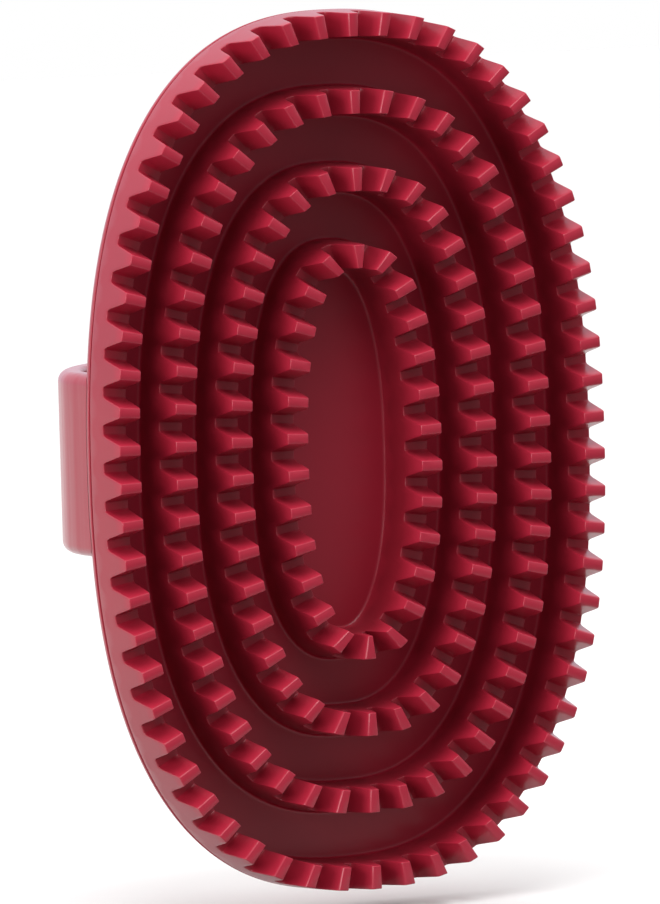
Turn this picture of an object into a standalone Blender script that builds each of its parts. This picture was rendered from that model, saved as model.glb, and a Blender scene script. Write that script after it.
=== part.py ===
"""Oval rubber curry brush: a toothed rubber pad on a shell-like back plate, with a hand strap behind.

Metres, +Z up along the brush, teeth facing -Y, strap on the +Y side. The origin is in the middle of
the oval, halfway between the tooth tips and the strap's crown. "Depth" is measured from the tooth tips
towards the back, and "inset" from the pad's side wall at the seam towards the middle.
"""
import math

import bmesh
import bpy
from mathutils import Matrix, Vector

# ---- driving dimensions of the toothed pad -------------------------------------------------------
HALF_WIDTH = 0.0523          # outer rib, outer edge of its tips, across the brush
HALF_LENGTH = 0.0820         # the same along the brush
OVAL_POWER = 2.45            # 2 is a plain ellipse, more is squarer
CENTRE_HALF_WIDTH = 0.0166   # innermost rib, outer edge of its tips, across the brush
CENTRE_HALF_LENGTH = 0.0388  # the same along the brush
RIB_COUNT = 4                # evenly spaced from the outer rib to the innermost
RIB_WIDTH = 0.0044           # at the tips
RIB_HEIGHT = 0.0130          # tip to groove floor
FLOOR_THICKNESS = 0.0024     # rubber behind the groove floors
WALL_DRAFT = 0.040           # sideways growth of a wall for each unit of depth
TOOTH_HEIGHT = 0.0060        # tip to gullet
TOOTH_PITCH = 0.0070
TIP_LENGTH = 0.0020          # flat of a tooth tip, along the rib
GULLET_LENGTH = 0.0020       # flat of a gullet, along the rib
FAN_POWER = 2.0              # teeth point along the normals of this rounder oval
TOOTH_LINE = 0.25            # the even spacing runs this share of the rib's width inside its edge

# ---- back plate ----------------------------------------------------------------------------------
PLATE_DEPTH = 0.0068         # from the seam between pad and back plate to the flat back
PLATE_WALL = 0.0018
EDGE_RADIUS = 0.0036         # rounding just behind the seam
EDGE_TURN = math.radians(40) # how far that rounding turns before the straight bevel
BACK_RADIUS = 0.0034         # rounding from the bevel to the flat back

# ---- hand strap ----------------------------------------------------------------------------------
STRAP_SET_IN = 0.0004        # outer face at the feet, inside the side wall
STRAP_RISE = 0.0350          # crown's outer face above the springing of the arch
SPRINGING_DROP = 0.0006      # the arch springs this far in front of the flat back
STRAP_WIDTH = 0.0340
STRAP_THICKNESS = 0.0045
STRAP_EDGE_RADIUS = 0.0021   # rounded edges of the outer face
STRAP_INNER_RADIUS = 0.0009  # rounded edges of the palm side

# ---- buttoned tab, studs and hinge rod -----------------------------------------------------------
TAB_THICKNESS = 0.0025
TAB_CORNER = 0.0050
TAB_MARGIN = 0.0045          # tab beyond the middle of its last row of holes
HOLE_ROW_STEP = 0.0070       # between the rows of adjusting holes
HOLE_ROWS = (-1, 0, 1)       # rows either side of the buttoned one
STUD_SET_IN = 0.0173         # studs from the strap's outer face
STUD_EDGE = 0.0090           # middle of a stud from the strap's edge
STUD_RADIUS = 0.0022
STUD_STAND = 0.0020          # stud top above the tab
DOME_TURN = math.radians(80) # of the stud's rounded top
STUD_FOOT_RADIUS = 0.0040
STUD_FOOT_THICKNESS = 0.0010
ROD_RADIUS = 0.0015
ROD_HEAD_RADIUS = 0.0024
ROD_HEAD_THICKNESS = 0.0010
KNUCKLE_WALL = 0.0018        # round the rod, outside its bore
LUG_WIDTH = 0.0040

# ---- clearances ----------------------------------------------------------------------------------
FACE_GAP = 0.0003            # between faces that rest on each other
ROD_CLEARANCE = 0.0002       # round the rod
STUD_CLEARANCE = 0.0004      # round a stud in the strap's hole
LUG_GAP = 0.0004             # strap edge to hinge lug
CUT_OVERSHOOT = 0.0020       # cutters run this far past the faces that they open

# ---- fineness of the mesh ------------------------------------------------------------------------
OVAL_SAMPLES = 1440          # places at which the way round an oval is measured
PLATE_STATIONS = 96          # round the back plate
OUTER_EDGE_STEPS = 3         # along each rounding of the plate's outer edge
INNER_EDGE_STEPS = 2         # the same inside the plate
PAD_EDGE_STEPS = 1           # the same on the pad, where nothing shows
ARCH_STEPS = 44
SECTION_STEPS = 3            # round each corner of the strap's section
CORNER_STEPS = 6             # round each corner of the tab
DOME_STEPS = 4
ROUND_SIDES = 24
SMOOTH_ANGLE = math.radians(35)
TOOTH_SMOOTH_ANGLE = math.radians(20)

# ---- values that follow --------------------------------------------------------------------------
RIB_STEP_ACROSS = (HALF_WIDTH - CENTRE_HALF_WIDTH) / (RIB_COUNT - 1)
RIB_STEP_ALONG = (HALF_LENGTH - CENTRE_HALF_LENGTH) / (RIB_COUNT - 1)
PAD_BACK_OFFSET = PLATE_WALL + FACE_GAP
PAD_BACK = RIB_HEIGHT + FLOOR_THICKNESS
THICKNESS = PAD_BACK + PAD_BACK_OFFSET              # tooth tips to the flat back
SEAM_DEPTH = THICKNESS - PLATE_DEPTH
PLATE_FRONT = SEAM_DEPTH + FACE_GAP
SIDE_WALL = WALL_DRAFT * SEAM_DEPTH                 # side wall's reach past the tips, at the seam
STRAP_HALF_SPAN = HALF_WIDTH + SIDE_WALL - STRAP_SET_IN
SPRINGING_DEPTH = THICKNESS - SPRINGING_DROP
ORIGIN_DEPTH = (SPRINGING_DEPTH + STRAP_RISE) / 2   # halfway from the tooth tips to the strap's crown
BORE_RADIUS = ROD_RADIUS + ROD_CLEARANCE
KNUCKLE_RADIUS = BORE_RADIUS + KNUCKLE_WALL
ROD_X = STRAP_HALF_SPAN - STRAP_THICKNESS / 2
ROD_DEPTH = THICKNESS + FACE_GAP + KNUCKLE_RADIUS   # the strap's eye rests on the flat back
TAB_DEPTH = THICKNESS + FACE_GAP                    # the tab's face that rests on the back plate
STUD_X = STUD_SET_IN - STRAP_HALF_SPAN
STUD_Z = STRAP_WIDTH / 2 - STUD_EDGE
TAB_END = STUD_X + HOLE_ROWS[-1] * HOLE_ROW_STEP + TAB_MARGIN
LUG_START = STRAP_WIDTH / 2 + LUG_GAP
LUG_END = LUG_START + LUG_WIDTH

RUBBER_RED = (0.41, 0.017, 0.040)
STUD_RED = (0.32, 0.014, 0.034)
STEEL_GREY = (0.55, 0.55, 0.57)


def depth_to_y(depth):
    return depth - ORIGIN_DEPTH


# ---- outline -------------------------------------------------------------------------------------
def oval_point(angle, half_width, half_length):
    """Superellipse: |x/a|^p + |z/b|^p = 1."""
    c, s = math.cos(angle), math.sin(angle)
    x = math.copysign(abs(c) ** (2 / OVAL_POWER), c) * half_width
    z = math.copysign(abs(s) ** (2 / OVAL_POWER), s) * half_length
    return Vector((x, z))


def oval_normal(point, half_width, half_length, power):
    gx = math.copysign(abs(point.x / half_width) ** (power - 1), point.x) / half_width
    gz = math.copysign(abs(point.y / half_length) ** (power - 1), point.y) / half_length
    return Vector((gx, gz)).normalized()


def stations(half_width, half_length, inset, shares):
    """Places at the given shares of the way round the oval, each with its direction outwards.

    Each station is (point on the oval, step): the point moves outwards by one unit of wall when it
    moves by one step. The shares are measured along the line that lies inset inside the oval.
    """
    line = []
    for index in range(OVAL_SAMPLES + 1):
        point = oval_point(2 * math.pi * index / OVAL_SAMPLES, half_width, half_length)
        normal = oval_normal(point, half_width, half_length, OVAL_POWER)
        line.append((point - normal * inset, normal))
    travelled = [0.0]
    for index in range(OVAL_SAMPLES):
        travelled.append(travelled[-1] + (line[index + 1][0] - line[index][0]).length)
    result = []
    index = 0
    for share in shares:
        target = share * travelled[-1]
        while travelled[index + 1] < target:
            index += 1
        blend = (target - travelled[index]) / (travelled[index + 1] - travelled[index])
        point = line[index][0].lerp(line[index + 1][0], blend)
        normal = line[index][1].lerp(line[index + 1][1], blend).normalized()
        fan = oval_normal(point, half_width - inset, half_length - inset, FAN_POWER)
        result.append((point + fan * inset / fan.dot(normal), fan / fan.dot(normal)))
    return result, travelled[-1]


def place(station, outwards, depth):
    point, step = station
    spot = point + step * outwards
    return Vector((spot.x, depth_to_y(depth), spot.y))


def tooth_count(perimeter):
    """A tooth stands on each end of the brush and a gullet on each side, so it is 2 more than 4n."""
    return 4 * max(1, round((perimeter / TOOTH_PITCH - 2) / 4)) + 2


def rib_stations(number):
    """Stations round one rib with the depth of its top there: four for each tooth."""
    half_width = HALF_WIDTH - number * RIB_STEP_ACROSS
    half_length = HALF_LENGTH - number * RIB_STEP_ALONG
    inset = RIB_WIDTH * TOOTH_LINE
    perimeter = stations(half_width, half_length, inset, [])[1]
    count = tooth_count(perimeter)
    pitch = perimeter / count
    flank_end = (pitch - GULLET_LENGTH) / 2
    shape = [(-flank_end, TOOTH_HEIGHT), (-TIP_LENGTH / 2, 0.0),
             (TIP_LENGTH / 2, 0.0), (flank_end, TOOTH_HEIGHT)]
    shares, tops = [], []
    for tooth in range(count):
        for along, top in shape:
            shares.append(((tooth + 0.5) * pitch + along) / perimeter)
            tops.append(top)
    return stations(half_width, half_length, inset, shares)[0], tops


# ---- mesh helpers --------------------------------------------------------------------------------
def make_material(name, colour, roughness, metallic=0.0):
    material = bpy.data.materials.new(name)
    material.use_nodes = True
    shader = material.node_tree.nodes["Principled BSDF"]
    shader.inputs["Base Color"].default_value = (*colour, 1.0)
    shader.inputs["Roughness"].default_value = roughness
    shader.inputs["Metallic"].default_value = metallic
    return material


def finish_object(name, bm, material=None, smooth_angle=SMOOTH_ANGLE):
    bmesh.ops.recalc_face_normals(bm, faces=bm.faces)
    mesh = bpy.data.meshes.new(name)
    bm.to_mesh(mesh)
    bm.free()
    mesh.shade_smooth()
    mesh.set_sharp_from_angle(angle=smooth_angle)
    if material is not None:
        mesh.materials.append(material)
    shape = bpy.data.objects.new(name, mesh)
    bpy.context.scene.collection.objects.link(shape)
    return shape


def add_loop(bm, points):
    return [bm.verts.new(point) for point in points]


def bridge(bm, first, second):
    for index in range(len(first)):
        after = (index + 1) % len(first)
        bm.faces.new((first[index], first[after], second[after], second[index]))


def loop_edges(bm, loop):
    edges = []
    for index, vert in enumerate(loop):
        after = loop[(index + 1) % len(loop)]
        edges.append(bm.edges.get((vert, after)) or bm.edges.new((vert, after)))
    return edges


def fill_flat(bm, *loops):
    edges = [edge for loop in loops for edge in loop_edges(bm, loop)]
    bmesh.ops.triangle_fill(bm, use_beauty=True, use_dissolve=False, edges=edges, normal=(0, -1, 0))


def lofted(name, rings, material=None):
    """Solid with a skin from ring to ring and a face across the first and the last."""
    bm = bmesh.new()
    loops = [add_loop(bm, ring) for ring in rings]
    for first, second in zip(loops, loops[1:]):
        bridge(bm, first, second)
    bm.faces.new(loops[0])
    bm.faces.new(loops[-1])
    return finish_object(name, bm, material)


def turned(name, profile, material):
    """Solid turned about its own Z axis: the profile is (radius, height), from one end to the other."""
    turns = [2 * math.pi * index / ROUND_SIDES for index in range(ROUND_SIDES)]
    rings = [[Vector((radius * math.cos(turn), radius * math.sin(turn), height)) for turn in turns]
             for radius, height in profile]
    return lofted(name, rings, material)


def cylinder(name, centre, axis, radius, length):
    """Solid cylinder with its centre at the given point, along 'Y' or 'Z'."""
    bm = bmesh.new()
    bmesh.ops.create_cone(bm, cap_ends=True, segments=ROUND_SIDES, radius1=radius, radius2=radius,
                          depth=length)
    if axis == "Y":
        bmesh.ops.rotate(bm, verts=bm.verts, matrix=Matrix.Rotation(math.radians(-90), 3, "X"))
    bmesh.ops.translate(bm, verts=bm.verts, vec=centre)
    return finish_object(name, bm)


def combine(target, tool, operation):
    tool.hide_render = True
    tool.display_type = "WIRE"
    modifier = target.modifiers.new(tool.name, "BOOLEAN")
    modifier.object = tool
    modifier.operation = operation
    modifier.solver = "EXACT"


# ---- back edge: seam, rounding, bevel, rounding, flat back ---------------------------------------
def back_profile(offset, steps):
    """Points (inset, depth) from the seam to the flat back, moved inwards by offset all along."""
    first = (EDGE_RADIUS, PLATE_FRONT)
    second_depth = THICKNESS - BACK_RADIUS
    run = math.sin(EDGE_TURN) * (second_depth - first[1]) + BACK_RADIUS - EDGE_RADIUS
    second = (first[0] + run / math.cos(EDGE_TURN), second_depth)
    points = []
    for centre, radius, start, end in ((first, EDGE_RADIUS, 0.0, EDGE_TURN),
                                       (second, BACK_RADIUS, EDGE_TURN, math.pi / 2)):
        for index in range(steps + 1):
            turn = start + (end - start) * index / steps
            reach = radius - offset
            points.append((centre[0] - reach * math.cos(turn), centre[1] + reach * math.sin(turn)))
    return points


def dished_solid(name, offset, front_depth, steps, material=None):
    """The back plate's outer form moved inwards by offset, closed with a flat front."""
    shares = [index / PLATE_STATIONS for index in range(PLATE_STATIONS)]
    spots = stations(HALF_WIDTH, HALF_LENGTH, 0.0, shares)[0]
    profile = [(offset, front_depth)] + back_profile(offset, steps)
    rings = [[place(spot, SIDE_WALL - inset, depth) for spot in spots] for inset, depth in profile]
    return lofted(name, rings, material)


# ---- toothed pad ---------------------------------------------------------------------------------
def build_pad_back(bm, seam_loop, spots):
    profile = [(PAD_BACK_OFFSET, SEAM_DEPTH)] + back_profile(PAD_BACK_OFFSET, PAD_EDGE_STEPS)
    last = seam_loop
    for inset, depth in profile:
        loop = add_loop(bm, [place(spot, SIDE_WALL - inset, depth) for spot in spots])
        bridge(bm, last, loop)
        last = loop
    bm.faces.new(last)


def build_toothed_pad(material):
    """One moulding: the ribs with their teeth, the groove floors and the back that fills the plate."""
    bm = bmesh.new()
    floor_loop = None
    for number in range(RIB_COUNT):
        spots, tops = rib_stations(number)
        foot_depth = SEAM_DEPTH if number == 0 else RIB_HEIGHT
        outer_foot = add_loop(bm, [place(spot, WALL_DRAFT * foot_depth, foot_depth) for spot in spots])
        outer_top = add_loop(bm, [place(spot, WALL_DRAFT * top, top) for spot, top in zip(spots, tops)])
        inner_top = add_loop(bm, [place(spot, -RIB_WIDTH - WALL_DRAFT * top, top)
                                  for spot, top in zip(spots, tops)])
        inner_foot = add_loop(bm, [place(spot, -RIB_WIDTH - WALL_DRAFT * RIB_HEIGHT, RIB_HEIGHT)
                                   for spot in spots])
        bridge(bm, outer_foot, outer_top)
        bridge(bm, outer_top, inner_top)
        bridge(bm, inner_top, inner_foot)
        if number == 0:
            build_pad_back(bm, outer_foot, spots)
        else:
            fill_flat(bm, floor_loop, outer_foot)
        floor_loop = inner_foot
    fill_flat(bm, floor_loop)
    pad = finish_object("toothed_pad", bm, material, TOOTH_SMOOTH_ANGLE)
    pocket_depth = STUD_FOOT_THICKNESS + FACE_GAP
    for name, (x, z) in stud_spots().items():
        pocket = cylinder(f"cut_stud_pocket_{name}", (x, depth_to_y(PAD_BACK), z), "Y",
                          STUD_FOOT_RADIUS + FACE_GAP, 2 * pocket_depth)
        combine(pad, pocket, "DIFFERENCE")
    return pad


# ---- back plate with its hinge lugs --------------------------------------------------------------
def stud_spots():
    return {"upper": (STUD_X, STUD_Z), "lower": (STUD_X, -STUD_Z)}


def lug_outline():
    """A round eye on the rod's axis, with straight flanks down into the plate's edge."""
    centre_y = depth_to_y(ROD_DEPTH)
    root_y = depth_to_y(PLATE_FRONT + EDGE_RADIUS)
    half_turn = ROUND_SIDES // 2
    points = []
    for index in range(half_turn + 1):
        angle = math.pi * index / half_turn
        points.append((ROD_X + KNUCKLE_RADIUS * math.cos(angle), centre_y + KNUCKLE_RADIUS * math.sin(angle)))
    flat_start = HALF_WIDTH + SIDE_WALL - EDGE_RADIUS - BACK_RADIUS
    points.append((flat_start, depth_to_y(THICKNESS - PLATE_WALL / 2)))
    points.append((flat_start, root_y))
    points.append((HALF_WIDTH + SIDE_WALL - EDGE_RADIUS / 2, root_y))
    return points


def build_back_plate(material):
    plate = dished_solid("back_plate", 0.0, PLATE_FRONT, OUTER_EDGE_STEPS, material)
    for name, low, high in (("upper", LUG_START, LUG_END), ("lower", -LUG_END, -LUG_START)):
        rings = [[Vector((x, y, z)) for x, y in lug_outline()] for z in (low, high)]
        combine(plate, lofted(f"add_lug_{name}", rings), "UNION")
    hollow = dished_solid("cut_plate_hollow", PLATE_WALL, SEAM_DEPTH - CUT_OVERSHOOT, INNER_EDGE_STEPS)
    combine(plate, hollow, "DIFFERENCE")
    bore = cylinder("cut_rod_bore", (ROD_X, depth_to_y(ROD_DEPTH), 0), "Z", BORE_RADIUS,
                    2 * (LUG_END + CUT_OVERSHOOT))
    combine(plate, bore, "DIFFERENCE")
    for name, (x, z) in stud_spots().items():
        hole = cylinder(f"cut_stud_hole_{name}", (x, depth_to_y(THICKNESS), z), "Y",
                        STUD_RADIUS + FACE_GAP, 2 * (PLATE_WALL + CUT_OVERSHOOT))
        combine(plate, hole, "DIFFERENCE")
    return plate


# ---- hand strap ----------------------------------------------------------------------------------
def strap_section():
    """Points (z, distance in from the outer face) round the strap's cross-section."""
    half = STRAP_WIDTH / 2
    outer, inner = STRAP_EDGE_RADIUS, STRAP_INNER_RADIUS
    points = []
    for centre_z, centre_in, radius, start in (
            (half - outer, outer, outer, 90),
            (half - inner, STRAP_THICKNESS - inner, inner, 0),
            (inner - half, STRAP_THICKNESS - inner, inner, -90),
            (outer - half, outer, outer, -180)):
        for index in range(SECTION_STEPS + 1):
            angle = math.radians(start - 90 * index / SECTION_STEPS)
            points.append((centre_z + radius * math.cos(angle), centre_in - radius * math.sin(angle)))
    return points


def strap_path():
    """Outer face of the arch, from the left foot to the hinge: (x, depth, inward normal)."""
    path = [(-STRAP_HALF_SPAN, PLATE_FRONT, Vector((1, 0)))]
    hinge_turn = math.asin((ROD_DEPTH - SPRINGING_DEPTH) / (STRAP_RISE - STRAP_THICKNESS / 2))
    for index in range(ARCH_STEPS + 1):
        turn = math.pi - (math.pi - hinge_turn) * index / ARCH_STEPS
        x, rise = STRAP_HALF_SPAN * math.cos(turn), STRAP_RISE * math.sin(turn)
        normal = Vector((-x / STRAP_HALF_SPAN ** 2, -rise / STRAP_RISE ** 2)).normalized()
        path.append((x, SPRINGING_DEPTH + rise, normal))
    return path


def build_tab():
    """Flat tab that lies on the back plate, from inside the strap's foot to its rounded end."""
    half = STRAP_WIDTH / 2 - STRAP_EDGE_RADIUS
    start = STRAP_THICKNESS / 2 - STRAP_HALF_SPAN
    outline = [(start, half), (start, -half)]
    for side, first_angle in ((-1, -90), (1, 0)):
        for index in range(CORNER_STEPS + 1):
            angle = math.radians(first_angle + 90 * index / CORNER_STEPS)
            outline.append((TAB_END - TAB_CORNER + TAB_CORNER * math.cos(angle),
                            side * (half - TAB_CORNER) + TAB_CORNER * math.sin(angle)))
    rings = [[Vector((x, depth_to_y(depth), z)) for x, z in outline]
             for depth in (TAB_DEPTH, TAB_DEPTH + TAB_THICKNESS)]
    return lofted("add_strap_tab", rings)


def build_hand_strap(material):
    rings = []
    for x, depth, inward in strap_path():
        rings.append([Vector((x + inward.x * thick, depth_to_y(depth + inward.y * thick), z))
                      for z, thick in strap_section()])
    strap = lofted("hand_strap", rings, material)
    foot_room = dished_solid("cut_strap_foot", -FACE_GAP, SEAM_DEPTH - CUT_OVERSHOOT, OUTER_EDGE_STEPS)
    combine(strap, foot_room, "DIFFERENCE")
    combine(strap, build_tab(), "UNION")
    eye_spot = (ROD_X, depth_to_y(ROD_DEPTH), 0)
    combine(strap, cylinder("add_strap_eye", eye_spot, "Z", KNUCKLE_RADIUS, STRAP_WIDTH), "UNION")
    bore = cylinder("cut_strap_bore", eye_spot, "Z", BORE_RADIUS, STRAP_WIDTH + 2 * CUT_OVERSHOOT)
    combine(strap, bore, "DIFFERENCE")
    middle_y = depth_to_y(TAB_DEPTH + TAB_THICKNESS / 2)
    for row in HOLE_ROWS:
        for name, (x, z) in stud_spots().items():
            hole = cylinder(f"cut_strap_hole_{name}_{row + 2}", (x + row * HOLE_ROW_STEP, middle_y, z), "Y",
                            STUD_RADIUS + STUD_CLEARANCE, TAB_THICKNESS + 2 * CUT_OVERSHOOT)
            combine(strap, hole, "DIFFERENCE")
    return strap


# ---- studs and hinge rod -------------------------------------------------------------------------
def build_stud(name, spot, material):
    """Foot held between pad and plate, shank through the plate and the tab, domed top."""
    foot_back = THICKNESS - PLATE_WALL - FACE_GAP
    top = TAB_DEPTH + TAB_THICKNESS + STUD_STAND
    profile = [(STUD_FOOT_RADIUS, foot_back - STUD_FOOT_THICKNESS), (STUD_FOOT_RADIUS, foot_back),
               (STUD_RADIUS, foot_back)]
    for index in range(DOME_STEPS + 1):
        angle = DOME_TURN * index / DOME_STEPS
        profile.append((STUD_RADIUS * math.cos(angle), top - STUD_RADIUS / 2 * (1 - math.sin(angle))))
    stud = turned(f"strap_stud_{name}", profile, material)
    stud.location = (spot[0], depth_to_y(0), spot[1])
    stud.rotation_euler = (-math.pi / 2, 0, 0)
    return stud


def build_rod(material):
    """Hinge rod through both lugs and the strap's eye, with a head riveted on each end."""
    head_start = LUG_END + FACE_GAP
    profile = [(ROD_RADIUS, -head_start - ROD_HEAD_THICKNESS),
               (ROD_HEAD_RADIUS, -head_start - ROD_HEAD_THICKNESS / 2),
               (ROD_HEAD_RADIUS, -head_start),
               (ROD_RADIUS, -head_start)]
    profile += [(radius, -height) for radius, height in reversed(profile)]
    rod = turned("strap_rod", profile, material)
    rod.location = (ROD_X, depth_to_y(ROD_DEPTH), 0)
    return rod


def hang_on_hinge(strap):
    """The strap's parent is an empty on the rod's axis, about which it swings open."""
    hinge = bpy.data.objects.new("strap_hinge", None)
    hinge.location = (ROD_X, depth_to_y(ROD_DEPTH), 0)
    bpy.context.scene.collection.objects.link(hinge)
    strap.parent = hinge
    strap.matrix_parent_inverse = Matrix.Translation(-hinge.location)


def main():
    for existing in list(bpy.data.objects):
        bpy.data.objects.remove(existing, do_unlink=True)
    build_toothed_pad(make_material("pad_rubber", RUBBER_RED, 0.34))
    build_back_plate(make_material("plate_rubber", RUBBER_RED, 0.30))
    hang_on_hinge(build_hand_strap(make_material("strap_rubber", RUBBER_RED, 0.32)))
    stud_finish = make_material("stud_plastic", STUD_RED, 0.35)
    for name, spot in stud_spots().items():
        build_stud(name, spot, stud_finish)
    build_rod(make_material("rod_steel", STEEL_GREY, 0.28, 1.0))


main()
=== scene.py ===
import math

import bmesh
import bpy
import numpy as np
from mathutils import Matrix, Vector


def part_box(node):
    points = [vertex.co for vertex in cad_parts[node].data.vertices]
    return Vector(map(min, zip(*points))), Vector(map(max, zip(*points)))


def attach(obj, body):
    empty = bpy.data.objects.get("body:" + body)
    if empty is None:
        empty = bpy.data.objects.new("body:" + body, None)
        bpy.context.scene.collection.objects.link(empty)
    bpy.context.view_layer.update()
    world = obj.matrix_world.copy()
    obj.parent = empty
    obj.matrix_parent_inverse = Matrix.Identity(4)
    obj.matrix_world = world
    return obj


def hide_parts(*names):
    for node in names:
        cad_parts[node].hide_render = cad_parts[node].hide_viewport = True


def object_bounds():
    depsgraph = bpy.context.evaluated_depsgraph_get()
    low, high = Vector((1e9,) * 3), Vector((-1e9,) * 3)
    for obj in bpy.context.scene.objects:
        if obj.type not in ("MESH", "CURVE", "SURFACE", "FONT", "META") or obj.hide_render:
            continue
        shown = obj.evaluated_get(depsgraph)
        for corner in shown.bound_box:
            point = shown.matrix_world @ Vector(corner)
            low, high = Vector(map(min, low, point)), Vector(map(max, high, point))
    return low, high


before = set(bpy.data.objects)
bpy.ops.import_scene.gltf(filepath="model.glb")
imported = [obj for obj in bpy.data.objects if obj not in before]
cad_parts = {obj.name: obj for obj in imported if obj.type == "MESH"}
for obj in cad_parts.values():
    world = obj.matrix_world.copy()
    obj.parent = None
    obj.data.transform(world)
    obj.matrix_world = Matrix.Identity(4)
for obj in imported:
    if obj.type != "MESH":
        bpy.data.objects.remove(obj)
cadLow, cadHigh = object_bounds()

padLow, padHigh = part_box("toothed_pad")
strapLow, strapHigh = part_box("hand_strap")
rodLow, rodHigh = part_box("strap_rod")
tipY = padLow.y  # depth is measured from here, the plane of the tooth tips, towards the back

sharpDegrees = {"plain": 32, "rubber": 34, "turned": 40}  # faces that meet at more than this shade sharp
holeSides = 48
cutterReach = 0.002  # how far a cutter runs past what it cuts


def arrayObject(name, points, quads, triangles=None, degrees=sharpDegrees["plain"], material=None):
    # points is n x 3, quads m x 4 and triangles k x 3 of indices
    faces = [np.asarray(quads, dtype=np.int32)]
    if triangles is not None:
        faces.append(np.asarray(triangles, dtype=np.int32))
    corners = np.concatenate([kind.ravel() for kind in faces])
    totals = np.concatenate([np.full(len(kind), kind.shape[1], dtype=np.int32) for kind in faces])
    starts = np.concatenate([[0], np.cumsum(totals)[:-1]]).astype(np.int32)
    mesh = bpy.data.meshes.new(name)
    mesh.vertices.add(len(points))
    mesh.vertices.foreach_set("co", np.asarray(points, dtype=np.float32).ravel())
    mesh.loops.add(len(corners))
    mesh.loops.foreach_set("vertex_index", corners)
    mesh.polygons.add(len(totals))
    mesh.polygons.foreach_set("loop_start", starts)
    mesh.update(calc_edges=True)
    mesh.validate()
    shape = bpy.data.objects.new(name, mesh)
    bpy.context.scene.collection.objects.link(shape)
    outwards(mesh)
    smooth(mesh, degrees)
    if material is not None:
        mesh.materials.append(material)
    return shape


def outwards(mesh):
    bm = bmesh.new()
    bm.from_mesh(mesh)
    bmesh.ops.recalc_face_normals(bm, faces=bm.faces)
    if bm.calc_volume(signed=True) < 0:
        bmesh.ops.reverse_faces(bm, faces=bm.faces)
    bm.to_mesh(mesh)
    bm.free()


def smooth(mesh, degrees):
    mesh.shade_smooth()
    mesh.set_sharp_from_angle(angle=math.radians(degrees))


def gridQuads(rows, columns, closeRows=False, first=0):
    # cell (i, j) joins points i and i+1 down the rows and j and j+1 along the columns, which wrap round
    i = np.arange(rows if closeRows else rows - 1)
    i, j = np.meshgrid(i, np.arange(columns), indexing="ij")
    nextI, nextJ = (i + 1) % rows, (j + 1) % columns
    cells = [i * columns + j, i * columns + nextJ, nextI * columns + nextJ, nextI * columns + j]
    return first + np.stack(cells, -1).reshape(-1, 4)


def fanTriangles(ring, centre):
    # every edge of a closed ring of indices is joined to one centre point
    return np.stack([ring, np.roll(ring, -1), np.full(len(ring), centre)], -1)


def zipTriangles(outer, outerShare, inner, innerShare):
    # two closed rings are joined: their shares of the way round are sorted together, and each in turn
    # gives a triangle from the edge that ends there to the point that the other ring has reached
    shares = np.concatenate([outerShare[1:], [1.0], innerShare[1:], [1.0]])
    isOuter = np.concatenate([np.ones(len(outer), bool), np.zeros(len(inner), bool)])
    isOuter = isOuter[np.argsort(shares, kind="stable")]
    outerDone = np.cumsum(isOuter) - isOuter
    innerDone = np.cumsum(~isOuter) - ~isOuter
    a = outer[outerDone % len(outer)]
    b = inner[innerDone % len(inner)]
    c = np.where(isOuter, outer[(outerDone + 1) % len(outer)], inner[(innerDone + 1) % len(inner)])
    return np.stack([a, b, c], -1)


def cappedSkin(name, rings, degrees=sharpDegrees["plain"], material=None, ends=None):
    # closed rings joined one after another, the first and the last also to a point in their middle
    rows, columns = len(rings), len(rings[0])
    points = np.concatenate(rings)
    if ends is None:
        ends = [rings[0].mean(0), rings[-1].mean(0)]
    firstRing = np.arange(columns)
    lastRing = (rows - 1) * columns + firstRing
    triangles = [fanTriangles(firstRing, len(points)), fanTriangles(lastRing, len(points) + 1)]
    return arrayObject(name, np.concatenate([points, ends]), gridQuads(rows, columns),
                       np.concatenate(triangles), degrees, material)


def turnedSolid(name, profile, centre, axis, sides, material=None):
    # a profile of (radius, height) turned about its axis: radius times the cosine across, radius times
    # the sine up, and the height along
    turn = np.linspace(0, 2 * np.pi, sides, endpoint=False)
    radius, height = np.array(profile, float).T
    across = radius[:, None] * np.cos(turn)
    up = radius[:, None] * np.sin(turn)
    along = np.repeat(height[:, None], sides, 1)
    parts = [across, along, up] if axis == "Y" else [across, up, along]
    return cappedSkin(name, np.stack(parts, -1) + np.array(centre), sharpDegrees["turned"], material)


def arcPoints(centre, radius, start, end, steps):
    # centre plus radius times (cosine, sine) of an angle that runs evenly from start to end, in degrees
    turn = np.radians(np.linspace(start, end, steps + 1))
    return np.stack([centre[0] + radius * np.cos(turn), centre[1] + radius * np.sin(turn)], -1)


def quarterTurns(count):
    return np.radians(np.linspace(0, 90, count))


def easedEdge(radius, count):
    # (inset, rise) of a quarter round from a face to its rim: radius times (1 - sine, 1 - cosine)
    turn = quarterTurns(count)
    return np.stack([radius * (1 - np.sin(turn)), radius * (1 - np.cos(turn))], -1)


def applyAll(shape, degrees):
    # the mesh as its modifiers leave it
    graph = bpy.context.evaluated_depsgraph_get()
    made = bpy.data.meshes.new_from_object(shape.evaluated_get(graph))
    shape.modifiers.clear()
    shape.data = made
    smooth(made, degrees)


def booleanWith(shape, tool, operation):
    step = shape.modifiers.new(tool.name, "BOOLEAN")
    step.object = tool
    step.operation = operation
    step.solver = "EXACT"
    tool.hide_render = True
    return tool


def removeTools(tools):
    for tool in tools:
        bpy.data.objects.remove(tool, do_unlink=True)


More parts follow.
